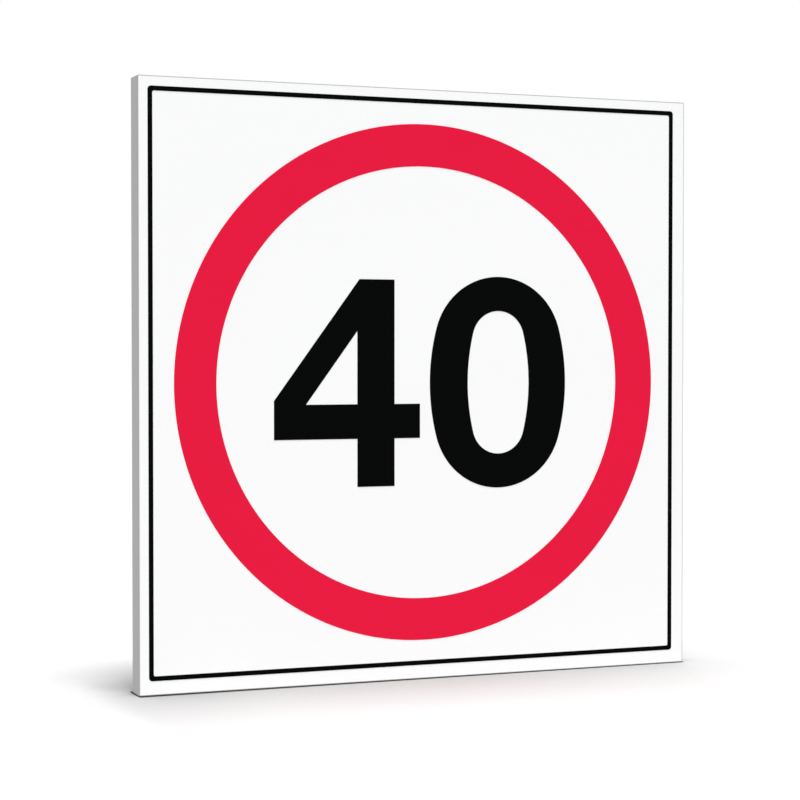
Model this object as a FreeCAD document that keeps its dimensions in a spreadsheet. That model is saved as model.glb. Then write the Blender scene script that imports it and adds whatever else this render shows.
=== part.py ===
import FreeCAD, Part
import math
import os
from types import SimpleNamespace

import Sketcher

# Speed limit sign: a square foam PVC board with its print laid on the front as cut films.
# The board stands on its bottom edge. X runs along the face to a reader's right, the printed
# front looks along -Y and Z is up. The origin is the middle of the board's foot.

# Driving sizes in millimetres: alias, value, what it is. The digits' own sizes are those of
# the lettering as it is drawn, before it is fitted to the ring.
SIZES = (
    ("board_width", 450.0, "board, side to side"),
    ("board_height", 450.0, "board, foot to top"),
    ("board_thickness", 19.0, "board, front to back"),
    ("arris_radius", 0.8, "broken edge all round the board"),
    ("film_thickness", 0.2, "cut film with its adhesive"),
    ("margin_left", 7.5, "bare board left of the border"),
    ("margin_right", 10.5, "bare board right of the border"),
    ("margin_top", 7.5, "bare board above the border"),
    ("margin_bottom", 10.5, "bare board below the border"),
    ("line_width", 3.5, "border line"),
    ("line_outer_radius", 2.6, "border's corner, outside"),
    ("line_inner_radius", 1.3, "border's corner, inside"),
    ("ring_clearance", 15.7, "gap from the border's inside to the ring"),
    ("ring_band", 32.1, "ring, outside to inside"),
    ("legend_clearance", 19.4, "gap from the ring's inside to the corners of the digits' box"),
    ("digit_height", 156.7, "four, baseline to top"),
    ("digit_gap", 8.2, "gap between the four and the nought"),
    ("four_width", 117.2, "four, side to side"),
    ("stem_width", 30.1, "four's upright stem"),
    ("foot_height", 36.3, "baseline to the underside of the four's bar"),
    ("bar_height", 26.1, "four's bar"),
    ("bar_overhang", 20.9, "end of the four's bar, right of the stem"),
    ("nose_height", 29.1, "upright cut at the left end of the four's bar"),
    ("top_width", 28.4, "four's flat top"),
    ("diagonal_stroke", 21.9, "four's slanted stroke, square across it"),
    ("zero_width", 115.0, "nought, side to side"),
    ("zero_overshoot", 3.2, "nought above the top of the four, and below the baseline"),
    ("side_stroke", 31.6, "nought's stroke at its sides"),
    ("crown_stroke", 26.4, "nought's stroke at its top and foot"),
    ("crown_inset", 3.7, "half the nought's width less the radius of its crown arc"),
    ("counter_inset", 4.1, "the same, inside the nought"),
)

# Sizes and places that follow from those: name, expression, what it is
DERIVED = (
    ("front_y", "-sizes.board_thickness / 2", "board's front face"),
    ("print_width", "sizes.board_width - sizes.margin_left - sizes.margin_right", "border, outside"),
    ("print_height", "sizes.board_height - sizes.margin_top - sizes.margin_bottom", "border, outside"),
    ("print_x", "(sizes.margin_left - sizes.margin_right) / 2", "middle of the print"),
    ("print_z", "sizes.margin_bottom + derived.print_height / 2", "middle of the print"),
    ("clear_width", "derived.print_width - 2 * sizes.line_width", "border, inside"),
    ("clear_height", "derived.print_height - 2 * sizes.line_width", "border, inside"),
    (
        "ring_outer_radius",
        "min(derived.clear_width; derived.clear_height) / 2 - sizes.ring_clearance",
        "the largest ring that keeps its clearance to the border",
    ),
    ("ring_inner_radius", "derived.ring_outer_radius - sizes.ring_band", "ring, inside"),
    ("legend_width", "sizes.four_width + sizes.digit_gap + sizes.zero_width", "both digits as drawn"),
    ("legend_height", "sizes.digit_height + 2 * sizes.zero_overshoot", "both digits as drawn"),
    (
        "legend_scale",
        "(derived.ring_inner_radius - sizes.legend_clearance)"
        " / hypot(derived.legend_width / 2; derived.legend_height / 2)",
        "the digits' box reaches to its clearance from the ring",
    ),
    (
        "four_x",
        "derived.print_x - derived.legend_scale * (sizes.digit_gap + sizes.zero_width) / 2",
        "middle of the four",
    ),
    (
        "zero_x",
        "derived.print_x + derived.legend_scale * (sizes.digit_gap + sizes.four_width) / 2",
        "middle of the nought",
    ),
)

# The outside of the four, anticlockwise from the left end of its baseline: each line and how it runs
FOUR_LINES = {
    "foot": "Horizontal",
    "stem_right": "Vertical",
    "bar_underside_right": "Horizontal",
    "bar_end": "Vertical",
    "bar_top_right": "Horizontal",
    "upper_stem": "Vertical",
    "flat_top": "Horizontal",
    "slant": None,
    "nose": "Vertical",
    "bar_underside_left": "Horizontal",
    "stem_left": "Vertical",
}

# The points of a line or an arc, and the axes and the origin of a sketch, as a sketch numbers them
START, END, CENTRE = range(1, 4)
HORIZONTAL_AXIS, VERTICAL_AXIS = range(-1, -3, -1)
ORIGIN = (HORIZONTAL_AXIS, START)

# The four's measures: alias, direction, from the first line's point to the second line's point
FOUR_MEASURES = (
    ("four_width", "DistanceX", "nose", END, "bar_end", START),
    ("digit_height", "DistanceY", "foot", START, "flat_top", START),
    ("stem_width", "DistanceX", "foot", START, "foot", END),
    ("foot_height", "DistanceY", "stem_right", START, "stem_right", END),
    ("bar_height", "DistanceY", "bar_end", START, "bar_end", END),
    ("bar_overhang", "DistanceX", "bar_underside_right", START, "bar_underside_right", END),
    ("nose_height", "DistanceY", "nose", END, "nose", START),
    ("top_width", "DistanceX", "flat_top", END, "flat_top", START),
)

QUARTER_TURN = math.pi / 2
STEP_FOLDER = "parts"


def add_sheet(doc):
    """The sheet of driving sizes."""
    sheet = doc.addObject("Spreadsheet::Sheet", "sizes")
    for row, (alias, value, meaning) in enumerate(SIZES, start=1):
        sheet.set(f"A{row}", meaning)
        sheet.set(f"B{row}", str(value))
        sheet.setAlias(f"B{row}", alias)
    doc.recompute()


def add_derived(doc):
    """The sizes and places that are worked out from the sheet."""
    derived = doc.addObject("App::VarSet", "derived")
    for name, expression, meaning in DERIVED:
        derived.addProperty("App::PropertyFloat", name, "Derived", meaning)
        derived.setExpression(name, expression)
    doc.recompute()


def add_body(doc, label, x, y, z):
    """A body whose own origin is at the place that the three expressions give."""
    body = doc.addObject("PartDesign::Body", label)
    body.Label = label
    for axis, expression in zip("xyz", (x, y, z)):
        body.setExpression(f"Placement.Base.{axis}", expression)
    return body


def add_film_body(doc, label, x):
    """A body for a film: its sketch plane is the board's front face, at the height of the print's middle."""
    return add_body(doc, label, x, "derived.front_y", "derived.print_z")


def origin_plane(body, role):
    return next(plane for plane in body.Origin.OriginFeatures if plane.Role == role)


def add_sketch(body, name):
    """A sketch seen from the sign's front: its x runs right and its y up."""
    sketch = body.newObject("Sketcher::SketchObject", name)
    sketch.AttachmentSupport = [(origin_plane(body, "XZ_Plane"), "")]
    sketch.MapMode = "FlatFace"
    return sketch


def add_pad(body, name, sketch, length):
    """The sketch raised towards the sign's front."""
    pad = body.newObject("PartDesign::Pad", name)
    pad.Profile = sketch
    pad.setExpression("Length", length)
    return pad


def add_mirror(body, name, role):
    """The body's shape so far with its mirror image in one of the body's own planes."""
    mirror = body.newObject("PartDesign::Mirrored", name)
    mirror.TransformMode = "Whole shape"
    mirror.MirrorPlane = (origin_plane(body, role), [""])
    body.Tip = mirror


def fitted(alias):
    """The expression for a size of the lettering once it is fitted to the ring."""
    return f"derived.legend_scale * sizes.{alias}"


def point(x, y):
    return FreeCAD.Vector(x, y, 0)


def circle(centre, radius):
    return Part.Circle(point(*centre), FreeCAD.Vector(0, 0, 1), radius)


def draw_line(sketch, start, end):
    return sketch.addGeometry(Part.LineSegment(point(*start), point(*end)))


def draw_arc(sketch, centre, radius, start_angle, end_angle):
    return sketch.addGeometry(Part.ArcOfCircle(circle(centre, radius), start_angle, end_angle))


def relate(sketch, kind, *where):
    sketch.addConstraint(Sketcher.Constraint(kind, *where))


def measure(sketch, name, expression, kind, *where):
    """A named dimension of the sketch that follows the sheet."""
    value = float(sketch.evalExpression(expression))
    index = sketch.addConstraint(Sketcher.Constraint(kind, *where, value))
    sketch.renameConstraint(index, name)
    sketch.setExpression(f"Constraints.{name}", expression)


def draw_polygon(sketch, corners, kinds):
    """Lines from corner to corner and back to the first, each horizontal, vertical or neither."""
    lines = [draw_line(sketch, *ends) for ends in zip(corners, corners[1:] + corners[:1])]
    for line, following in zip(lines, lines[1:] + lines[:1]):
        relate(sketch, "Coincident", line, END, following, START)
    for line, kind in zip(lines, kinds):
        if kind:
            relate(sketch, kind, line)
    return lines


def draw_rectangle(sketch, width, height):
    """A rectangle about the sketch's origin."""
    x = sketch.evalExpression(width) / 2
    y = sketch.evalExpression(height) / 2
    corners = [(-x, -y), (x, -y), (x, y), (-x, y)]
    bottom, right, top, left = draw_polygon(sketch, corners, ("Horizontal", "Vertical") * 2)
    relate(sketch, "Symmetric", bottom, START, top, START, *ORIGIN)
    measure(sketch, "width", width, "DistanceX", bottom, START, bottom, END)
    measure(sketch, "height", height, "DistanceY", right, START, right, END)


def draw_rounded_rectangle(sketch, prefix, width, height, radius):
    """A rectangle about the sketch's origin with an arc at each corner, anticlockwise from its right side."""
    r = sketch.evalExpression(radius)
    reach_x = sketch.evalExpression(width) / 2
    reach_y = sketch.evalExpression(height) / 2
    x = reach_x - r
    y = reach_y - r
    sides = [
        draw_line(sketch, (reach_x, -y), (reach_x, y)),
        draw_line(sketch, (x, reach_y), (-x, reach_y)),
        draw_line(sketch, (-reach_x, y), (-reach_x, -y)),
        draw_line(sketch, (-x, -reach_y), (x, -reach_y)),
    ]
    arcs = [
        draw_arc(sketch, centre, r, turn * QUARTER_TURN, (turn + 1) * QUARTER_TURN)
        for turn, centre in enumerate(((x, y), (-x, y), (-x, -y), (x, -y)))
    ]
    for side, arc, following in zip(sides, arcs, sides[1:] + sides[:1]):
        relate(sketch, "Tangent", side, END, arc, START)
        relate(sketch, "Tangent", arc, END, following, START)
    for arc in arcs[1:]:
        relate(sketch, "Equal", arcs[0], arc)
    right, top, left, bottom = sides
    for side, kind in ((right, "Vertical"), (top, "Horizontal"), (left, "Vertical"), (bottom, "Horizontal")):
        relate(sketch, kind, side)
    relate(sketch, "Symmetric", right, START, left, START, *ORIGIN)
    measure(sketch, f"{prefix}_width", width, "DistanceX", left, START, right, START)
    measure(sketch, f"{prefix}_height", height, "DistanceY", bottom, START, top, START)
    measure(sketch, f"{prefix}_radius", radius, "Radius", arcs[0])


def build_panel(doc):
    """The board: its full size and square, with its edges just broken."""
    body = add_body(doc, "panel", "0", "0", "sizes.board_height / 2")
    sketch = add_sketch(body, "BoardOutline")
    draw_rectangle(sketch, "sizes.board_width", "sizes.board_height")
    pad = add_pad(body, "Board", sketch, "sizes.board_thickness")
    pad.SideType = "Symmetric"
    doc.recompute()
    arris = body.newObject("PartDesign::Fillet", "Arris")
    arris.Base = (pad, [])
    arris.UseAllEdges = True
    arris.setExpression("Radius", "sizes.arris_radius")
    return body


def build_border(doc):
    """The thin black line round the print, cut as one frame of film."""
    body = add_film_body(doc, "border_line", "derived.print_x")
    sketch = add_sketch(body, "BorderOutline")
    draw_rounded_rectangle(
        sketch, "outer", "derived.print_width", "derived.print_height", "sizes.line_outer_radius"
    )
    draw_rounded_rectangle(
        sketch, "inner", "derived.clear_width", "derived.clear_height", "sizes.line_inner_radius"
    )
    add_pad(body, "BorderFilm", sketch, "sizes.film_thickness")
    return body


def build_ring(doc):
    """The red ring."""
    body = add_film_body(doc, "red_ring", "derived.print_x")
    sketch = add_sketch(body, "RingOutline")
    for name in ("ring_outer_radius", "ring_inner_radius"):
        expression = f"derived.{name}"
        edge = sketch.addGeometry(circle((0, 0), sketch.evalExpression(expression)))
        relate(sketch, "Coincident", edge, CENTRE, *ORIGIN)
        measure(sketch, name, expression, "Radius", edge)
    add_pad(body, "RingFilm", sketch, "sizes.film_thickness")
    return body


def four_places(sketch):
    """Where the edges of the four lie, in its sketch: the middle of its box is the origin."""

    def size(alias):
        return sketch.evalExpression(fitted(alias))

    right = size("four_width") / 2
    base = -size("digit_height") / 2
    stem_right = right - size("bar_overhang")
    bar_bottom = base + size("foot_height")
    return SimpleNamespace(
        left=-right,
        right=right,
        stem_left=stem_right - size("stem_width"),
        stem_right=stem_right,
        top_left=stem_right - size("top_width"),
        base=base,
        top=-base,
        bar_bottom=bar_bottom,
        bar_top=bar_bottom + size("bar_height"),
        nose_top=bar_bottom + size("nose_height"),
        stroke=size("diagonal_stroke"),
    )


def draw_four_outside(sketch, at):
    """The outside of the four, with its measures."""
    corners = [
        (at.stem_left, at.base),
        (at.stem_right, at.base),
        (at.stem_right, at.bar_bottom),
        (at.right, at.bar_bottom),
        (at.right, at.bar_top),
        (at.stem_right, at.bar_top),
        (at.stem_right, at.top),
        (at.top_left, at.top),
        (at.left, at.nose_top),
        (at.left, at.bar_bottom),
        (at.stem_left, at.bar_bottom),
    ]
    line = dict(zip(FOUR_LINES, draw_polygon(sketch, corners, FOUR_LINES.values())))
    relate(sketch, "Vertical", line["stem_right"], END, line["upper_stem"], START)
    relate(sketch, "Horizontal", line["stem_right"], END, line["stem_left"], START)
    for alias, kind, first, first_point, second, second_point in FOUR_MEASURES:
        measure(sketch, alias, fitted(alias), kind, line[first], first_point, line[second], second_point)
    half_width = f"{fitted('four_width')} / 2"
    half_height = f"{fitted('digit_height')} / 2"
    measure(sketch, "half_width", half_width, "DistanceX", line["nose"], END, *ORIGIN)
    measure(sketch, "half_height", half_height, "DistanceY", line["foot"], START, *ORIGIN)
    return line


def draw_four_counter(sketch, at, line):
    """The three-cornered opening in the four: its long side keeps one stroke from the slant outside."""
    slope = (at.top - at.nose_top) / (at.top_left - at.left)
    drop = at.stroke * math.hypot(1, slope)
    apex = at.nose_top - drop + slope * (at.stem_left - at.left)
    toe = at.left + (at.bar_top - at.nose_top + drop) / slope
    corners = [(at.stem_left, at.bar_top), (at.stem_left, apex), (toe, at.bar_top)]
    post, slope_side, sill = draw_polygon(sketch, corners, ("Vertical", None, "Horizontal"))
    relate(sketch, "Vertical", post, START, line["stem_left"], START)
    relate(sketch, "Horizontal", post, START, line["bar_top_right"], START)
    relate(sketch, "Parallel", slope_side, line["slant"])
    measure(sketch, "diagonal_stroke", fitted("diagonal_stroke"), "Distance", post, END, line["slant"])


def build_four(doc):
    """The four: a stem, a bar and a slanted stroke about a three-cornered opening."""
    body = add_film_body(doc, "digit_four", "derived.four_x")
    sketch = add_sketch(body, "FourOutline")
    at = four_places(sketch)
    draw_four_counter(sketch, at, draw_four_outside(sketch, at))
    add_pad(body, "FourFilm", sketch, "sizes.film_thickness")
    return body


def draw_oval_quarter(sketch, prefix, half_width, half_height, inset):
    """The upper right quarter of an oval: a side arc that runs smoothly into a tighter crown arc.

    The crown's centre is on the vertical axis and the side's on the horizontal one. The arcs touch on the
    line through both centres, so the side's radius follows from the oval's reach and the crown's radius.
    """
    crown_radius = f"{half_width} - derived.legend_scale * sizes.{inset}"
    a = sketch.evalExpression(half_width)
    b = sketch.evalExpression(half_height)
    r = sketch.evalExpression(crown_radius)
    side_radius = (a * a + (b - r) ** 2 - r * r) / (2 * (a - r))
    join = math.atan2(b - r, side_radius - a)
    side = draw_arc(sketch, (a - side_radius, 0), side_radius, 0, join)
    crown = draw_arc(sketch, (0, b - r), r, join, QUARTER_TURN)
    relate(sketch, "Tangent", side, END, crown, START)
    for spot in ((side, START), (side, CENTRE)):
        relate(sketch, "PointOnObject", *spot, HORIZONTAL_AXIS)
    for spot in ((crown, END), (crown, CENTRE)):
        relate(sketch, "PointOnObject", *spot, VERTICAL_AXIS)
    measure(sketch, f"{prefix}_half_width", half_width, "DistanceX", *ORIGIN, side, START)
    measure(sketch, f"{prefix}_half_height", half_height, "DistanceY", *ORIGIN, crown, END)
    measure(sketch, f"{prefix}_crown_radius", crown_radius, "Radius", crown)
    return side, crown


def draw_cut(sketch, first, first_point, second, second_point):
    """The straight line that closes the quarter stroke between the ends of two arcs."""
    ends = [sketch.getPoint(arc, spot) for arc, spot in ((first, first_point), (second, second_point))]
    cut = draw_line(sketch, *((end.x, end.y) for end in ends))
    relate(sketch, "Coincident", first, first_point, cut, START)
    relate(sketch, "Coincident", cut, END, second, second_point)


def build_zero(doc):
    """The nought: a quarter of its stroke, mirrored to the left and then downwards."""
    body = add_film_body(doc, "digit_zero", "derived.zero_x")
    sketch = add_sketch(body, "NoughtQuarter")
    half_width = f"{fitted('zero_width')} / 2"
    half_height = "derived.legend_scale * derived.legend_height / 2"
    clear_width = f"{half_width} - {fitted('side_stroke')}"
    clear_height = f"{half_height} - {fitted('crown_stroke')}"
    side, crown = draw_oval_quarter(sketch, "outer", half_width, half_height, "crown_inset")
    inner_side, inner_crown = draw_oval_quarter(sketch, "inner", clear_width, clear_height, "counter_inset")
    draw_cut(sketch, crown, END, inner_crown, END)
    draw_cut(sketch, inner_side, START, side, START)
    add_pad(body, "NoughtFilm", sketch, "sizes.film_thickness")
    doc.recompute()
    for name, role in (("BothSides", "YZ_Plane"), ("TopAndFoot", "XY_Plane")):
        add_mirror(body, name, role)
        doc.recompute()
    return body


def check_document(doc, bodies):
    """Stops before anything is written if an object failed or a piece is not one sound solid."""
    failed = [item.Name for item in doc.Objects if {"Invalid", "Error"} & set(item.State)]
    if failed:
        raise RuntimeError(f"these objects failed to build: {failed}")
    for body in bodies:
        if body.Shape.isNull() or not body.Shape.isValid() or len(body.Shape.Solids) != 1:
            raise RuntimeError(f"{body.Label} is not one sound solid")


def write_parts(bodies):
    os.makedirs(STEP_FOLDER, exist_ok=True)
    for body in bodies:
        body.Shape.exportStep(os.path.join(STEP_FOLDER, f"{body.Label}.step"))
        box = body.Shape.BoundBox
        print(f"{body.Label}: {box.XLength:.2f} x {box.YLength:.2f} x {box.ZLength:.2f} mm")


def main():
    doc = FreeCAD.newDocument("speed_limit_sign")
    add_sheet(doc)
    add_derived(doc)
    bodies = [build(doc) for build in (build_panel, build_border, build_ring, build_four, build_zero)]
    doc.recompute()
    check_document(doc, bodies)
    write_parts(bodies)


main()
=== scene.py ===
"""Speed limit sign: the looks of a square foam PVC board whose print is cut film.

The solids give every place and outside size. Here each piece but the straight-edged four is made again as a
finer surface, all get their materials, and a pale floor, soft lamps and a camera are set round the sign.
Lengths are in metres, in the solids' own frame: X to a reader's right, Z up, and the print looks along -Y.
"""

import math

import bpy
import numpy as np
from bpy.props import FloatProperty, FloatVectorProperty, IntProperty, PointerProperty
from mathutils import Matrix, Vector


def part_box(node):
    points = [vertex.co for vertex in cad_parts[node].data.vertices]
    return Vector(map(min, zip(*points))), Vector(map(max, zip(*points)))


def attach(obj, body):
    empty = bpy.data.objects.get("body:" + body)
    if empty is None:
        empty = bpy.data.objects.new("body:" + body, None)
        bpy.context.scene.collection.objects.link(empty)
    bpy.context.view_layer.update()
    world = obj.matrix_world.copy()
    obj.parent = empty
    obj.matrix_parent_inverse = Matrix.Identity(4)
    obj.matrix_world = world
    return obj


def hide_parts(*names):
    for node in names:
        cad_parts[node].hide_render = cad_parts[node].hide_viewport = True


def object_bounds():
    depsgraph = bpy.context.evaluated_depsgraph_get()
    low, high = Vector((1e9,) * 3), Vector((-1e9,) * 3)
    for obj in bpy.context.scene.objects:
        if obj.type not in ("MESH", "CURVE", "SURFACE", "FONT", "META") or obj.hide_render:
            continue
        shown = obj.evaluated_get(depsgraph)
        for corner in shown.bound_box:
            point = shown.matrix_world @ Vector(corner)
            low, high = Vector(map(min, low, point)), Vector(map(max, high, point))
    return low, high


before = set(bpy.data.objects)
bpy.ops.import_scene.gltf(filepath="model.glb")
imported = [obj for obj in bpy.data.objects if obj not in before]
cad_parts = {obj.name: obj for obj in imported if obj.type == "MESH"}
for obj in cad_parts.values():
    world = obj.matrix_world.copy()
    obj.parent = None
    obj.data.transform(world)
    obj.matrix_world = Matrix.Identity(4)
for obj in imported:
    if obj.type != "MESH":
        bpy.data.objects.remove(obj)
CAD_LOW, CAD_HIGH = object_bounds()

bl_info = {
    "name": "Speed Limit Sign",
    "version": (1, 0, 0),
    "blender": (4, 5, 0),
    "location": "3D View > Sidebar > Sign",
    "description": "Finishes a speed limit sign: its foam board, its cut films and a plain studio",
    "category": "Add Mesh",
}

MILLIMETRE = 0.001
FULL_TURN = 2 * math.pi

# The sign has no joints, so every piece rides on its one body.
BODY = "root"


# Settings that a user would change


def length(name, description, millimetres):
    """A length that is written in millimetres and kept in metres."""
    default = millimetres * MILLIMETRE
    return FloatProperty(name=name, description=description, default=default, unit="LENGTH", precision=5)


def reach_pair(name, description, across, deep):
    """Two lengths on the floor, along X and along Y, that are written in millimetres and kept in metres."""
    default = (across * MILLIMETRE, deep * MILLIMETRE)
    return FloatVectorProperty(
        name=name, description=description, default=default, size=2, unit="LENGTH", precision=5
    )


def colour(name, description, red, green, blue):
    """A colour in linear values."""
    default = (red, green, blue)
    return FloatVectorProperty(
        name=name, description=description, default=default, subtype="COLOR", size=3, min=0, max=1
    )


def share(name, description, default):
    """A plain number from nought to one."""
    return FloatProperty(name=name, description=description, default=default, min=0, max=1, subtype="FACTOR")


def count(name, description, default):
    """A whole number, one or more."""
    return IntProperty(name=name, description=description, default=default, min=1)


def angle(name, description, degrees):
    """An angle that is written in degrees and kept in radians."""
    return FloatProperty(name=name, description=description, default=math.radians(degrees), subtype="ANGLE")


class SignBoardSettings(bpy.types.PropertyGroup):
    """The foam board: its edges and its finish."""

    arris_radius: length("Arris", "Radius of the broken edge all round the board", 0.8)
    arris_steps: count("Arris Steps", "Facets across half of the arris", 4)
    grid_pitch: length("Grid Pitch", "Spacing of the mesh lines on the flat sides", 12.5)
    skin_colour: colour("Skin", "Smooth front and back of the board", 0.925, 0.93, 0.935)
    # Partly painted shade: sawn foam is duller than the skin, and its grey is made darker still to stand for
    # the shade on the board's sides.
    foam_and_shade_colour: colour("Sawn Foam", "Open foam at the sawn sides", 0.57, 0.57, 0.575)
    # Painted shade: the broken edge all round is given a darker grey, which draws a thin shade line round
    # the face.
    arris_shade_colour: colour("Arris Foam", "Crushed foam along the broken edge", 0.40, 0.40, 0.40)
    specular: share("Gloss", "Strength of the board's reflections", 0.2)
    roughness: share("Dullness", "How dull the smooth skin is", 0.46)
    cut_roughness: share("Cut Dullness", "How much duller the open foam is than the skin", 0.40)
    gloss_drift: share("Gloss Drift", "How far the dullness wanders over the board", 0.12)
    tone_drift: share("Tone Drift", "How far the lightness wanders over the board", 0.02)
    drift_size: length("Drift Size", "Size of the patches in which both wander", 140)
    streak_size: length("Streak Size", "Width of the faint streaks from rolling", 5)
    peel_size: length("Peel Size", "Size of the fine peel on the skin", 1.6)
    peel_depth: length("Peel Depth", "Depth of the fine peel on the skin", 0.003)
    skin_depth: length("Skin Depth", "How far in from the front or the back the skin ends", 0.01)
    cell_size: length("Foam Cells", "Size of the cells that the saw has cut open", 0.35)
    cell_depth: length("Cell Depth", "Depth of the cut cells", 0.05)
    # Painted shade in the cut cells: the hollow of each cell is darker than its walls.
    cell_shade: share("Cell Tone", "How much darker a cut cell is than the walls round it", 0.14)
    saw_pitch: length("Saw Marks", "Distance from one saw mark to the next", 1.7)
    saw_depth: length("Saw Depth", "Depth of the saw marks", 0.06)


class SignFilmSettings(bpy.types.PropertyGroup):
    """The cut films: their round outlines and their finish."""

    red: colour("Red", "Film of the ring", 0.776, 0.0110, 0.0500)
    black: colour("Black", "Film of the border line and the digits", 0.0010, 0.0013, 0.0012)
    specular: share("Gloss", "Strength of the film's reflections", 0.02)
    roughness: share("Dullness", "How dull the film is", 0.48)
    gloss_drift: share("Gloss Drift", "How far the dullness wanders over the film", 0.18)
    tone_drift: share("Tone Drift", "How far the lightness wanders over the film", 0.04)
    drift_size: length("Drift Size", "Size of the patches in which both wander", 70)
    streak_size: length("Streak Size", "Width of the faint streaks from rolling", 6)
    peel_size: length("Peel Size", "Size of the film's fine peel", 0.9)
    peel_depth: length("Peel Depth", "Depth of the film's fine peel", 0.004)
    knife_edge: length("Knife Edge", "Radius that the knife leaves on a film's upper edge", 0.05)
    edge_steps: count("Edge Steps", "Facets across a film's upper edge", 3)
    round_steps: count("Round Steps", "Facets once round a ring or a nought", 720)
    corner_steps: count("Corner Steps", "Facets round one corner of the border", 16)
    line_width: length("Border Line", "Width of the border line", 3.5)
    line_outer_radius: length("Border Corner Outside", "Outer radius of the border's corners", 2.6)
    line_inner_radius: length("Border Corner Inside", "Inner radius of the border's corners", 1.3)
    ring_band: length("Ring Band", "Width of the ring", 32.1)
    side_stroke: length("Nought Side", "Stroke of the nought at its sides", 31.6)
    crown_stroke: length("Nought Crown", "Stroke of the nought at its top and foot", 26.4)
    crown_inset: length("Nought Inset", "Half the nought's width less its crown's radius", 3.7)
    counter_inset: length("Counter Inset", "The same, inside the nought", 4.1)


class SignStageSettings(bpy.types.PropertyGroup):
    """The studio: floor, light and camera."""

    floor_reach: length("Floor", "From the sign to the end of the floor", 12000)
    floor_tone: share("Floor Tone", "How much light the floor gives back to the sign", 0.55)
    floor_colour: colour("Floor Colour", "Floor as it is seen where nothing shades it", 0.825, 0.825, 0.825)
    shade_colour: colour("Shade Colour", "Floor as it is seen deep in the foot's nook", 0.125, 0.13, 0.12)
    shade_reach: length("Shade", "How far the sign shades the floor", 180)
    shade_samples: count("Shade Samples", "Rays that look for what shades a place on the floor", 16)
    # Painted contact shadow: the dark line on the floor along the sign's foot.
    contact_shadow_colour: colour("Contact Colour", "Floor as it is seen under the sign's edge", 0.02, 0.02, 0.015)
    contact_left: length("Contact Left", "Reach of the dark line at the foot, at its left end", 8.0)
    contact_right: length("Contact Right", "Reach of the dark line at the foot, at its right end", 3.5)
    contact_core: share("Contact Core", "Share of the dark line's reach where it is darkest", 0.3)
    contact_ends: FloatProperty(
        name="Contact Ends",
        description="How many times sooner the dark line ends beyond the sign's corners",
        default=5,
        min=1,
    )
    patch_light: share("Patch Light", "Light left amid the soft patch at the foot's left end", 0.81)
    patch_middle: reach_pair("Patch Middle", "Middle of the patch, right of that end and behind it", -8, 27)
    patch_low: reach_pair("Patch Left and Front", "Reach of the patch, left and to the front", 32, 228)
    patch_high: reach_pair("Patch Right and Back", "Reach of the patch, right and to the back", 124, 54)
    sky: share("Sky", "Even light from all round", 0.40)
    top_share: share("Top Light", "Share of the light from the lamp overhead", 0.80)
    top_azimuth: angle("Top Azimuth", "Where the lamp overhead stands", 0)
    top_elevation: angle("Top Elevation", "How high the lamp overhead stands", 75)
    top_spread: angle("Top Spread", "How wide the lamp overhead looks", 18)
    front_share: share("Front Light", "Share of the light from the lamp in front", 0.30)
    front_azimuth: angle("Front Azimuth", "Where the lamp in front stands", -22)
    front_elevation: angle("Front Elevation", "How high the lamp in front stands", 12)
    front_spread: angle("Front Spread", "How wide the lamp in front looks", 24)
    back_share: share("Back Light", "Share of the light from the lamp behind", 0.25)
    back_azimuth: angle("Back Azimuth", "Where the lamp behind stands", 165)
    back_elevation: angle("Back Elevation", "How high the lamp behind stands", 10)
    back_spread: angle("Back Spread", "How wide the lamp behind looks", 24)
    lens: FloatProperty(name="Lens", description="Focal length in millimetres", default=92.6, unit="CAMERA")
    azimuth: angle("Azimuth", "Camera's side of the sign", -21.96)
    elevation: angle("Elevation", "How far the camera looks down", 1.33)
    distance: length("Distance", "From the camera to the point it looks at", 1564.2)
    aim_side: length("Aim Side", "Point looked at, from the sign's middle", -20.96)
    aim_height: length("Aim Height", "Point looked at, above the floor", 213.5)


# Surfaces

# Points of the board's sides that are nearer to each other than this are one point.
SAME_PLACE = 0.0001 * MILLIMETRE


def half_size(node):
    """Half the width and half the height of a solid, as the reader sees it."""
    low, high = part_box(node)
    return (high.x - low.x) / 2, (high.z - low.z) / 2


def grid_quads(rows, columns, closed=False):
    """The four-sided faces of a grid of points, as point numbers. A closed grid joins up both ways round."""
    numbers = np.arange(rows * columns).reshape(rows, columns)
    if closed:
        numbers = np.pad(numbers, ((0, 1), (0, 1)), mode="wrap")
    corners = [numbers[:-1, :-1], numbers[1:, :-1], numbers[1:, 1:], numbers[:-1, 1:]]
    return np.stack(corners, axis=-1).reshape(-1, 4)


def stations(low, high, radius, arc_steps, pitch):
    """Grid lines along one axis of a rounded block: each one's place in the core and its lean.

    The core is the block less its radius. The lean is the tangent of the angle between the surface's
    direction and the side's own: it rises from -1 at the low edge to 0, stays 0 across the flat, and rises
    to 1 at the high edge.
    """
    lean = np.tan(np.linspace(0, FULL_TURN / 8, arc_steps + 1)[1:])
    spans = max(1, round((high - low) / pitch))
    flat = np.linspace(low + radius, high - radius, spans + 1)
    core = np.concatenate([np.full(arc_steps, flat[0]), flat, np.full(arc_steps, flat[-1])])
    return core, np.concatenate([-lean[::-1], np.zeros(spans + 1), lean])


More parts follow.
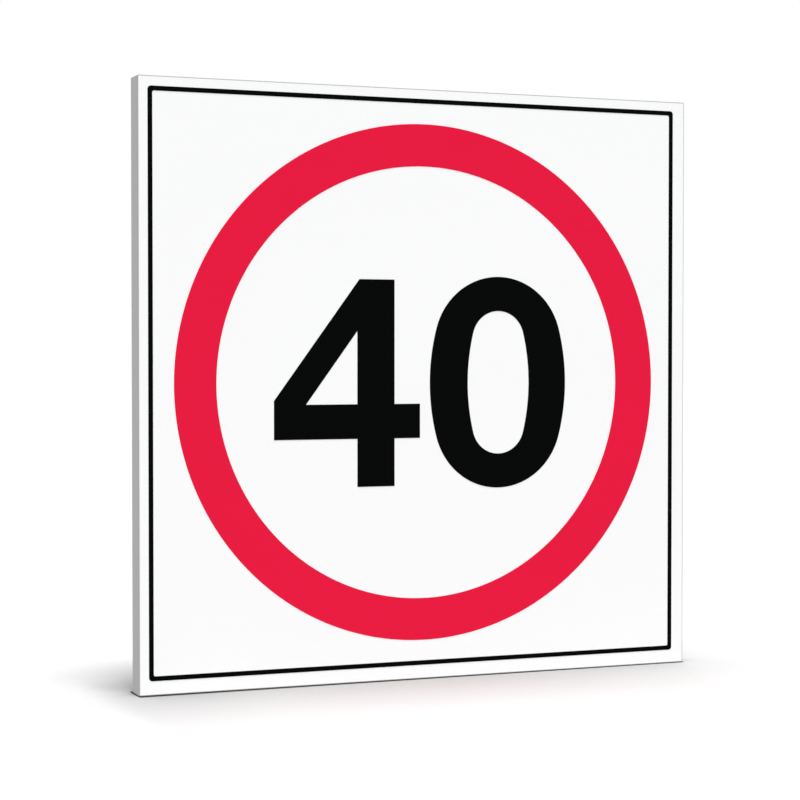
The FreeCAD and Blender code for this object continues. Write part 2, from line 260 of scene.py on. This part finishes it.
def rounded_block(low, high, radius, arc_steps, pitch):
    """Points, outward directions and faces of a block with every edge and corner rounded.

    Each of the six sides is a grid over the stations of the two axes that it runs along. A point is its
    place in the core plus the radius times the unit vector of its two leans and the side's own direction.
    Neighbouring sides give the same points along their common edge, and those are joined.
    """
    places, directions, faces = [], [], []
    for axis in range(3):
        first, second = (axis + 1) % 3, (axis + 2) % 3
        core_1, lean_1 = stations(low[first], high[first], radius, arc_steps, pitch)
        core_2, lean_2 = stations(low[second], high[second], radius, arc_steps, pitch)
        for side in (-1, 1):
            core = np.empty((len(core_1), len(core_2), 3))
            lean = np.empty_like(core)
            core[..., first], core[..., second] = core_1[:, None], core_2
            lean[..., first], lean[..., second] = lean_1[:, None], lean_2
            core[..., axis] = high[axis] - radius if side > 0 else low[axis] + radius
            lean[..., axis] = side
            outward = lean / np.linalg.norm(lean, axis=-1, keepdims=True)
            quads = grid_quads(*core.shape[:2]) + sum(map(len, places))
            faces.append(quads[:, ::side])
            places.append((core + radius * outward).reshape(-1, 3))
            directions.append(outward.reshape(-1, 3))
    places, faces = np.concatenate(places), np.concatenate(faces)
    keys = np.round(places / SAME_PLACE).astype(np.int64)
    _, kept, joined = np.unique(keys, axis=0, return_index=True, return_inverse=True)
    return places[kept], np.concatenate(directions)[kept], joined.reshape(-1)[faces]


def circle_outline(radius, steps):
    """A circle about the origin: the radius times the cosine and sine of a turn that goes once round."""
    turn = np.linspace(0, FULL_TURN, steps, endpoint=False)
    return radius * np.column_stack([np.cos(turn), np.sin(turn)])


def rounded_rectangle_outline(half_width, half_height, radius, steps):
    """A rectangle about the origin with round corners: a quarter circle about each corner's own centre."""
    quarter = np.repeat(np.arange(4), steps + 1)
    turn = (quarter + np.tile(np.linspace(0, 1, steps + 1), 4)) * FULL_TURN / 4
    signs = np.array([(1, 1), (-1, 1), (-1, -1), (1, -1)])[quarter]
    centre = signs * (half_width - radius, half_height - radius)
    return centre + radius * np.column_stack([np.cos(turn), np.sin(turn)])


def oval_outline(half_width, half_height, crown_radius, steps):
    """An oval about the origin of four arcs: tight ones at its top and foot, flatter ones at its sides.

    The crown's centre is on the upright axis and the side's on the level one. The arcs touch where the line
    through both centres meets them, which gives the side's radius. At each turn one of the arcs gives the
    point, as the arc's centre plus its radius along that turn. It is worked out in the first quarter, and
    signs carry it round.
    """
    rise = half_height - crown_radius
    reach = half_width - crown_radius
    side_radius = (half_width**2 + rise**2 - crown_radius**2) / (2 * reach)
    join = math.atan2(rise, side_radius - half_width)
    turn = np.linspace(0, FULL_TURN, steps, endpoint=False)
    cosine, sine = np.cos(turn), np.sin(turn)
    on_side = np.arctan2(abs(sine), abs(cosine)) < join
    radius = np.where(on_side, side_radius, crown_radius)
    x = np.where(on_side, half_width - side_radius, 0) + radius * abs(cosine)
    z = np.where(on_side, 0, rise) + radius * abs(sine)
    return np.column_stack([np.copysign(x, cosine), np.copysign(z, sine)])


def film_band(inner, outer, back, thickness, knife_edge, edge_steps):
    """Points and faces of a film between two closed outlines that have their points in step.

    One section goes up the inner wall, over a quarter circle, across the face, over a second quarter circle
    and down the outer wall. It is carried along the outlines: at each pair of points it starts at the inner
    one and runs straight to the outer one, with its arcs the same size all the way. Its two feet close it
    underneath.
    """
    turn = np.linspace(0, FULL_TURN / 4, edge_steps + 1)
    inset = np.append(0, knife_edge * (1 - np.cos(turn)))
    height = np.append(0, thickness - knife_edge * (1 - np.sin(turn)))
    width = np.linalg.norm(outer - inner, axis=1)[:, None]
    along = np.concatenate([np.broadcast_to(inset, (len(inner), len(inset))), width - inset[::-1]], axis=1)
    flat = inner[:, None] + ((outer - inner) / width)[:, None] * along[..., None]
    depth = np.broadcast_to(back - np.append(height, height[::-1]), along.shape)
    points = np.stack([flat[..., 0], depth, flat[..., 1]], axis=-1)
    return points.reshape(-1, 3), grid_quads(*along.shape, closed=True)[:, ::-1]


def new_object(name, data):
    """An object in the scene, at the origin."""
    made = bpy.data.objects.new(name, data)
    bpy.context.scene.collection.objects.link(made)
    return made


def make_piece(name, node, material, points, faces, directions=None):
    """A mesh object that stands for a solid, rides on the sign and has one material.

    Where outward directions are given the surface is shaded smoothly by them, and otherwise face by face.
    """
    mesh = bpy.data.meshes.new(name)
    mesh.from_pydata(points, [], faces.tolist())
    if directions is not None:
        mesh.normals_split_custom_set_from_vertices(directions)
    if mesh.validate():
        raise RuntimeError(f"{name} has faces that are not sound")
    mesh.materials.append(material)
    piece = new_object(name, mesh)
    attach(piece, BODY)
    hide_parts(node)


def make_film(name, node, material, settings, inner, outer):
    """A film between two outlines about the middle of the solid that it stands for."""
    low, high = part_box(node)
    middle = np.array([(low.x + high.x) / 2, (low.z + high.z) / 2])
    points, faces = film_band(
        inner + middle, outer + middle, high.y, high.y - low.y, settings.knife_edge, settings.edge_steps
    )
    make_piece(name, node, material, points, faces)


# Nodes


def add_node(tree, kind, inputs=None, **options):
    """A node with its options set. Each input is a value, or another node's output to link to it."""
    made = tree.nodes.new(kind)
    for name, value in options.items():
        setattr(made, name, value)
    for name, value in (inputs or {}).items():
        if isinstance(value, bpy.types.NodeSocket):
            tree.links.new(value, made.inputs[name])
        else:
            made.inputs[name].default_value = value
    return made


def add_math(tree, operation, *values):
    """The result of a sum, product or other operation on values or other nodes' outputs."""
    inputs = dict(enumerate(values))
    return add_node(tree, "ShaderNodeMath", inputs, operation=operation).outputs["Value"]


def vector_math(tree, operation, *values):
    """The result of an operation on triples of numbers or other nodes' outputs, as a triple."""
    inputs = dict(enumerate(values))
    return add_node(tree, "ShaderNodeVectorMath", inputs, operation=operation).outputs["Vector"]


def vector_length(tree, vector):
    """How long the way is that a triple of numbers stands for."""
    return add_node(tree, "ShaderNodeVectorMath", {0: vector}, operation="LENGTH").outputs["Value"]


def map_range(tree, value, from_low, from_high, to_low, to_high, interpolation="LINEAR"):
    """A value carried from one range to another, and held at the ends."""
    inputs = {
        "Value": value,
        "From Min": from_low,
        "From Max": from_high,
        "To Min": to_low,
        "To Max": to_high,
    }
    return add_node(tree, "ShaderNodeMapRange", inputs, interpolation_type=interpolation).outputs["Result"]


def object_place(tree):
    """The place on the piece, in metres."""
    return add_node(tree, "ShaderNodeTexCoord").outputs["Object"]


def split_axes(tree, place):
    """A place's X, Y and Z, each by its name."""
    return add_node(tree, "ShaderNodeSeparateXYZ", {"Vector": place}).outputs


def add_noise(tree, place, feature_size, detail):
    """Even noise from nought to one, whose patches are about as large as the feature size in metres."""
    scale = add_math(tree, "DIVIDE", 1.0, feature_size)
    inputs = {"Vector": place, "Scale": scale, "Detail": detail}
    return add_node(tree, "ShaderNodeTexNoise", inputs).outputs["Fac"]


def about_nought(tree, value):
    """A value that runs from nought to one, moved down by a half so that its middle is nought."""
    return add_math(tree, "SUBTRACT", value, 0.5)


def blend(tree, factor, first, second):
    """A colour between two others, each a plain colour or another node's output."""
    made = add_node(tree, "ShaderNodeMix", data_type="RGBA")
    given = {socket.name: socket for socket in made.inputs if socket.enabled}
    tree.links.new(factor, given["Factor"])
    for label, value in (("A", first), ("B", second)):
        if isinstance(value, bpy.types.NodeSocket):
            tree.links.new(value, given[label])
        else:
            given[label].default_value = (*value, 1)
    return next(socket for socket in made.outputs if socket.enabled)


def new_group(name, inputs, outputs):
    """A shader node group that takes and gives values: its tree, and the sockets of its inputs."""
    tree = bpy.data.node_groups.new(name, "ShaderNodeTree")
    for direction, labels in (("INPUT", inputs), ("OUTPUT", outputs)):
        for label in labels:
            tree.interface.new_socket(label, in_out=direction, socket_type="NodeSocketFloat")
    return tree, tree.nodes.new("NodeGroupInput").outputs


def place_group(tree, name, make, inputs):
    """The outputs of a node that holds the named group, which is made the first time it is asked for."""
    made = tree.nodes.new("ShaderNodeGroup")
    made.node_tree = bpy.data.node_groups.get(name) or make(name)
    for label, value in inputs.items():
        made.inputs[label].default_value = value
    return made.outputs


# Materials

# Streaks are noise whose place is shrunk along X, and they count half as much as patches.
STREAK_SHRINK = (0.04, 1.0, 1.0)
STREAK_WEIGHT = 0.5

# The saw wanders by up to this far, in waves of this size, and its marks lean along the board's depth.
SAW_WANDER = 1.2 * MILLIMETRE
SAW_WAVE = 9 * MILLIMETRE
SAW_LEAN = 0.22

# The painted shade along the broken edge is at its full darkness at this share of the broken edge's depth.
ARRIS_CORE = 0.6


def rolled_surface_group(name):
    """The surface of rolled sheet: a fine peel, and a slow drift about nought with faint streaks in it.

    The peel is noise at its own size, and the drift is noise at a far larger size plus the streaks, which
    are noise whose place is shrunk along X, the way the sheet ran, so that its patches come out long.
    """
    tree, given = new_group(name, ("Peel Size", "Drift Size", "Streak Size"), ("Peel", "Drift"))
    place = object_place(tree)
    drawn_out = vector_math(tree, "MULTIPLY", place, STREAK_SHRINK)
    peel = add_noise(tree, place, given["Peel Size"], detail=2.0)
    patches = add_noise(tree, place, given["Drift Size"], detail=1.0)
    streaks = add_noise(tree, drawn_out, given["Streak Size"], detail=3.0)
    drift = about_nought(tree, patches)
    drift = add_math(tree, "MULTIPLY_ADD", about_nought(tree, streaks), STREAK_WEIGHT, drift)
    add_node(tree, "NodeGroupOutput", {"Peel": peel, "Drift": drift})
    return tree


def sawn_foam_group(name):
    """Sawn foam: cells cut open, saw marks across the edge, and where skin and broken edge begin.

    The cells are the distance to the nearest of scattered points. The saw marks are a sine of the place
    along the edge, X plus Z, which runs on along each side in turn, pushed about by noise. The skin and the
    broken edge are where the place is nearly as far out as the board's face, front or back.
    """
    inputs = ("Cell Size", "Saw Pitch", "Half Thickness", "Skin Depth", "Arris Depth")
    tree, given = new_group(name, inputs, ("Cells", "Saw", "Skin", "Arris"))
    place = object_place(tree)
    axes = split_axes(tree, place)
    scale = add_math(tree, "DIVIDE", 1.0, given["Cell Size"])
    cells = add_node(tree, "ShaderNodeTexVoronoi", {"Vector": place, "Scale": scale}).outputs["Distance"]
    wander = add_math(tree, "MULTIPLY", add_noise(tree, place, SAW_WAVE, detail=2.0), SAW_WANDER)
    along = add_math(tree, "ADD", add_math(tree, "ADD", axes["X"], axes["Z"]), wander)
    leaning = add_math(tree, "MULTIPLY_ADD", axes["Y"], SAW_LEAN, along)
    turn = add_math(tree, "MULTIPLY", add_math(tree, "DIVIDE", leaning, given["Saw Pitch"]), FULL_TURN)
    saw = map_range(tree, add_math(tree, "SINE", turn), -1.0, 1.0, 0.0, 1.0)
    depth = add_math(tree, "SUBTRACT", given["Half Thickness"], add_math(tree, "ABSOLUTE", axes["Y"]))
    skin = map_range(tree, depth, given["Skin Depth"], 0.0, 0.0, 1.0, "SMOOTHSTEP")
    core = add_math(tree, "MULTIPLY", given["Arris Depth"], ARRIS_CORE)
    arris = map_range(tree, depth, given["Arris Depth"], core, 0.0, 1.0, "SMOOTHSTEP")
    add_node(tree, "NodeGroupOutput", {"Cells": cells, "Saw": saw, "Skin": skin, "Arris": arris})
    return tree


def place_rolled_surface(tree, settings):
    """The rolled surface with a board's or a film's own sizes."""
    inputs = {
        "Peel Size": settings.peel_size,
        "Drift Size": settings.drift_size,
        "Streak Size": settings.streak_size,
    }
    return place_group(tree, "rolled_surface", rolled_surface_group, inputs)


def new_material(name, specular):
    """A material, its tree and its shader, whose gloss is the same all over the surface."""
    material = bpy.data.materials.new(name)
    material.use_nodes = True
    tree = material.node_tree
    shader = tree.nodes["Principled BSDF"]
    shader.inputs["Specular IOR Level"].default_value = specular
    return material, tree, shader


def finish_surface(tree, shader, base, lightening, roughness, height):
    """Gives a shader its colour, made lighter or darker, its roughness, and a relief in metres."""
    value = add_math(tree, "ADD", lightening, 1.0)
    tinted = add_node(tree, "ShaderNodeHueSaturation", {"Color": base, "Value": value}).outputs["Color"]
    relief = add_node(tree, "ShaderNodeBump", {"Height": height, "Distance": 1.0, "Strength": 1.0})
    results = {"Base Color": tinted, "Roughness": roughness, "Normal": relief.outputs["Normal"]}
    for label, result in results.items():
        tree.links.new(result, shader.inputs[label])


def board_material(settings):
    """White foam PVC: a silky skin on the front and the back, and open foam where it was sawn."""
    material, tree, shader = new_material("foam_board", settings.specular)
    _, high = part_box("panel")
    inputs = {
        "Cell Size": settings.cell_size,
        "Saw Pitch": settings.saw_pitch,
        "Half Thickness": high.y,
        "Skin Depth": settings.skin_depth,
        "Arris Depth": settings.arris_radius,
    }
    sawn = place_group(tree, "sawn_foam", sawn_foam_group, inputs)
    surface = place_rolled_surface(tree, settings)
    # The sawn sides' grey, partly painted shade, with the painted shade line of the broken edge blended over
    # it.
    foam = blend(tree, sawn["Arris"], settings.foam_and_shade_colour, settings.arris_shade_colour)
    base = blend(tree, sawn["Skin"], foam, settings.skin_colour)
    cut = add_math(tree, "SUBTRACT", 1.0, sawn["Skin"])

    # Painted shade in the cut cells: darker in each hollow, lighter on the walls between.
    cell_hollows = add_math(tree, "MULTIPLY", about_nought(tree, sawn["Cells"]), cut)
    cell_shade = add_math(tree, "MULTIPLY", cell_hollows, settings.cell_shade)
    lightening = add_math(tree, "MULTIPLY_ADD", surface["Drift"], settings.tone_drift, cell_shade)

    roughness = add_math(tree, "MULTIPLY_ADD", cut, settings.cut_roughness, settings.roughness)
    roughness = add_math(tree, "MULTIPLY_ADD", surface["Drift"], settings.gloss_drift, roughness)

    height = add_math(tree, "MULTIPLY", sawn["Saw"], settings.saw_depth)
    height = add_math(tree, "MULTIPLY_ADD", sawn["Cells"], settings.cell_depth, height)
    height = add_math(tree, "MULTIPLY", height, cut)
    height = add_math(tree, "MULTIPLY_ADD", surface["Peel"], settings.peel_depth, height)

    finish_surface(tree, shader, base, lightening, roughness, height)
    return material


def film_material(name, settings, base):
    """Satin film in one colour, rubbed down on the board: a fine peel, and a gloss that drifts a little."""
    material, tree, shader = new_material(name, settings.specular)
    surface = place_rolled_surface(tree, settings)
    lightening = add_math(tree, "MULTIPLY", surface["Drift"], settings.tone_drift)
    roughness = add_math(tree, "MULTIPLY_ADD", surface["Drift"], settings.gloss_drift, settings.roughness)
    height = add_math(tree, "MULTIPLY", surface["Peel"], settings.peel_depth)
    finish_surface(tree, shader, (*base, 1), lightening, roughness, height)
    return material


def shared_film(name, settings, base):
    """A film material that more than one piece uses."""
    return bpy.data.materials.get(name) or film_material(name, settings, base)


# Stage

ORIGIN = (0.0, 0.0, 0.0)
BLACK = (0.0, 0.0, 0.0)


def grey(value):
    """A grey of the given lightness, in linear values."""
    return (value, value, value, 1)


def seen_mix(tree, kind, plain, seen):
    """A shader that is plain for the light it gives, and another where it is seen.

    It is seen by the camera, in a reflection and through glass.
    """
    path = add_node(tree, "ShaderNodeLightPath").outputs
    seen_or_mirrored = add_math(tree, "MAXIMUM", path["Is Camera Ray"], path["Is Glossy Ray"])
    factor = add_math(tree, "MAXIMUM", seen_or_mirrored, path["Is Transmission Ray"])
    first, second = (add_node(tree, kind, inputs).outputs[0] for inputs in (plain, seen))
    # Both shaders of the mix have the same socket name, so its sockets are given by number.
    return add_node(tree, "ShaderNodeMixShader", {0: factor, 1: first, 2: second}).outputs[0]


def openness(tree, stage):
    """The share of the ways up that is open within the shade's reach: one half at the foot of a wall."""
    inputs = {"Distance": stage.shade_reach}
    return add_node(tree, "ShaderNodeAmbientOcclusion", inputs, samples=stage.shade_samples).outputs["AO"]


def contact_shadow_mask(tree, stage):
    """Nought on the dark line where the sign touches the floor, and one from the end of its reach on.

    The foot is a rectangle about the origin, so its half sides are taken from the place's own distances
    from the two middle lines. What is left over beyond the ends counts several times, and with the rest it
    makes the sides of a right angle. The length of its slanting side, over a reach that tapers along X, is
    the way across the line.
    """
    low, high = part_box("panel")
    place = object_place(tree)
    over = vector_math(tree, "SUBTRACT", vector_math(tree, "ABSOLUTE", place), (high.x, high.y, 0.0))
    outside = vector_math(tree, "MAXIMUM", over, ORIGIN)
    distance = vector_length(tree, vector_math(tree, "MULTIPLY", outside, (stage.contact_ends, 1.0, 0.0)))
    along = split_axes(tree, place)["X"]
    reach = map_range(tree, along, low.x, high.x, stage.contact_left, stage.contact_right)
    across = add_math(tree, "DIVIDE", distance, reach)
    return map_range(tree, across, stage.contact_core, 1.0, 0.0, 1.0, "SMOOTHSTEP")


def end_patch(tree, stage):
    """The light left in a soft patch of shade about the foot's left end, and one beyond the patch.

    The patch is four quarter ovals about one middle. The way from the middle is parted into what is above
    nought and what is below, each is taken over its own reach, and the length of both together is 1 at the
    patch's rim.
    """
    low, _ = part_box("panel")
    across, deep = stage.patch_middle
    away = vector_math(tree, "SUBTRACT", object_place(tree), (low.x + across, deep, 0.0))
    above = vector_math(tree, "MAXIMUM", away, ORIGIN)
    above = vector_math(tree, "DIVIDE", above, (*stage.patch_high, 1.0))
    below = vector_math(tree, "MINIMUM", away, ORIGIN)
    below = vector_math(tree, "DIVIDE", below, (*stage.patch_low, 1.0))
    distance = vector_length(tree, vector_math(tree, "ADD", above, below))
    return map_range(tree, distance, 0.0, 1.0, stage.patch_light, 1.0, "SMOOTHSTEP")


def make_floor(stage):
    """A pale floor, seen lighter than the light it gives back, and shaded softly round the sign's foot."""
    material = bpy.data.materials.new("floor")
    material.use_nodes = True
    tree = material.node_tree
    tree.nodes.clear()
    shaded = blend(tree, openness(tree, stage), stage.shade_colour, stage.floor_colour)
    patched = blend(tree, end_patch(tree, stage), BLACK, shaded)
    # A painted contact shadow, dark along the sign's foot.
    seen = blend(tree, contact_shadow_mask(tree, stage), stage.contact_shadow_colour, patched)
    shader = seen_mix(tree, "ShaderNodeBsdfDiffuse", {"Color": grey(stage.floor_tone)}, {"Color": seen})
    add_node(tree, "ShaderNodeOutputMaterial", {"Surface": shader})
    reach = stage.floor_reach
    corners = [(-reach, -reach, 0), (reach, -reach, 0), (reach, reach, 0), (-reach, reach, 0)]
    mesh = bpy.data.meshes.new("floor")
    mesh.from_pydata(corners, [], [(0, 1, 2, 3)])
    mesh.materials.append(material)
    floor = new_object("floor", mesh)


def make_sky(stage):
    """Even light from all round, seen as white."""
    world = bpy.data.worlds.new("studio")
    world.use_nodes = True
    tree = world.node_tree
    tree.nodes.clear()
    shader = seen_mix(tree, "ShaderNodeBackground", {"Color": grey(stage.sky)}, {"Color": grey(1.0)})
    add_node(tree, "ShaderNodeOutputWorld", {"Surface": shader})
    bpy.context.scene.world = world


def towards(azimuth, elevation):
    """The way from the sign to something that stands at an azimuth, 0 in front, and an elevation."""
    level = math.cos(elevation)
    return Vector((math.sin(azimuth) * level, -math.cos(azimuth) * level, math.sin(elevation)))


def make_lamp(name, stage):
    """A far lamp. A white surface square to it takes the lamp's share of full white from it."""
    strength, azimuth, elevation, spread = (
        getattr(stage, f"{name}_{part}") for part in ("share", "azimuth", "elevation", "spread")
    )
    lamp = bpy.data.lights.new(f"{name}_lamp", "SUN")
    lamp.energy = strength * math.pi
    lamp.angle = spread
    holder = new_object(f"{name}_lamp", lamp)
    holder.rotation_euler = towards(azimuth, elevation).to_track_quat("Z", "Y").to_euler()


def make_camera(stage):
    """The camera at the photograph's angle."""
    camera = new_object("camera", bpy.data.cameras.new("camera"))
    camera.data.lens = stage.lens
    away = towards(stage.azimuth, stage.elevation)
    aim = Vector((stage.aim_side, CAD_LOW.y, stage.aim_height))
    camera.location = aim + away * stage.distance
    camera.rotation_euler = away.to_track_quat("Z", "Y").to_euler()
    bpy.context.scene.camera = camera


# Operators, one for each piece or group of like pieces and one for the stage


class SIGN_OT_board(bpy.types.Operator):
    """Makes the foam board with its broken edges and its finish"""

    bl_idname = "sign.board"
    bl_label = "Foam Board"

    def execute(self, context):
        settings = context.scene.sign_board
        low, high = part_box("panel")
        points, directions, faces = rounded_block(
            low, high, settings.arris_radius, settings.arris_steps, settings.grid_pitch
        )
        make_piece("board", "panel", board_material(settings), points, faces, directions)
        return {"FINISHED"}


class SIGN_OT_border(bpy.types.Operator):
    """Makes the black border line"""

    bl_idname = "sign.border"
    bl_label = "Border Line"

    def execute(self, context):
        settings = context.scene.sign_film
        material = shared_film("black_cut_film", settings, settings.black)
        width, height = half_size("border_line")
        line, steps = settings.line_width, settings.corner_steps
        outer = rounded_rectangle_outline(width, height, settings.line_outer_radius, steps)
        inner = rounded_rectangle_outline(width - line, height - line, settings.line_inner_radius, steps)
        make_film("border_film", "border_line", material, settings, inner, outer)
        return {"FINISHED"}


class SIGN_OT_ring(bpy.types.Operator):
    """Makes the red ring"""

    bl_idname = "sign.ring"
    bl_label = "Red Ring"

    def execute(self, context):
        settings = context.scene.sign_film
        material = shared_film("red_cut_film", settings, settings.red)
        _, radius = half_size("red_ring")
        outer = circle_outline(radius, settings.round_steps)
        inner = circle_outline(radius - settings.ring_band, settings.round_steps)
        make_film("ring_film", "red_ring", material, settings, inner, outer)
        return {"FINISHED"}


class SIGN_OT_digits(bpy.types.Operator):
    """Makes the nought and finishes the four, whose straight outline is kept as it is"""

    bl_idname = "sign.digits"
    bl_label = "Digits"

    def execute(self, context):
        settings = context.scene.sign_film
        material = shared_film("black_cut_film", settings, settings.black)
        width, height = half_size("digit_zero")
        clear_width, clear_height = width - settings.side_stroke, height - settings.crown_stroke
        outer = oval_outline(width, height, width - settings.crown_inset, settings.round_steps)
        crown_radius = clear_width - settings.counter_inset
        inner = oval_outline(clear_width, clear_height, crown_radius, settings.round_steps)
        make_film("nought_film", "digit_zero", material, settings, inner, outer)
        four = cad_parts["digit_four"]
        four.data.materials.clear()
        four.data.materials.append(material)
        return {"FINISHED"}


class SIGN_OT_stage(bpy.types.Operator):
    """Makes the pale floor, the even sky, three soft lamps and the camera"""

    bl_idname = "sign.stage"
    bl_label = "Studio"

    def execute(self, context):
        stage = context.scene.sign_stage
        make_floor(stage)
        make_sky(stage)
        for name in ("top", "front", "back"):
            make_lamp(name, stage)
        make_camera(stage)
        context.scene.view_settings.view_transform = "Standard"
        return {"FINISHED"}


# Sidebar and registration

OPERATORS = (SIGN_OT_board, SIGN_OT_border, SIGN_OT_ring, SIGN_OT_digits, SIGN_OT_stage)
SETTINGS = {
    "sign_board": SignBoardSettings,
    "sign_film": SignFilmSettings,
    "sign_stage": SignStageSettings,
}


class SIGN_PT_sidebar(bpy.types.Panel):
    """The sign's pieces and settings"""

    bl_label = "Speed Limit Sign"
    bl_space_type = "VIEW_3D"
    bl_region_type = "UI"
    bl_category = "Sign"

    def draw(self, context):
        for operator in OPERATORS:
            self.layout.operator(operator.bl_idname)
        for name, group in SETTINGS.items():
            column = self.layout.column(heading=group.__doc__)
            for field in group.__annotations__:
                column.prop(getattr(context.scene, name), field)


CLASSES = (*SETTINGS.values(), *OPERATORS, SIGN_PT_sidebar)


def register():
    """Adds the classes to Blender and the settings to its scenes."""
    for kind in CLASSES:
        bpy.utils.register_class(kind)
    for name, group in SETTINGS.items():
        setattr(bpy.types.Scene, name, PointerProperty(type=group))


def unregister():
    """Takes the settings and the classes away again."""
    for name in SETTINGS:
        delattr(bpy.types.Scene, name)
    for kind in reversed(CLASSES):
        bpy.utils.unregister_class(kind)


def main():
    """Makes every piece and the stage, and writes the solids' box and the finished sign's box."""
    register()
    bpy.ops.sign.board()
    bpy.ops.sign.border()
    bpy.ops.sign.ring()
    bpy.ops.sign.digits()
    bpy.ops.sign.stage()


if __name__ == "__main__":
    main()
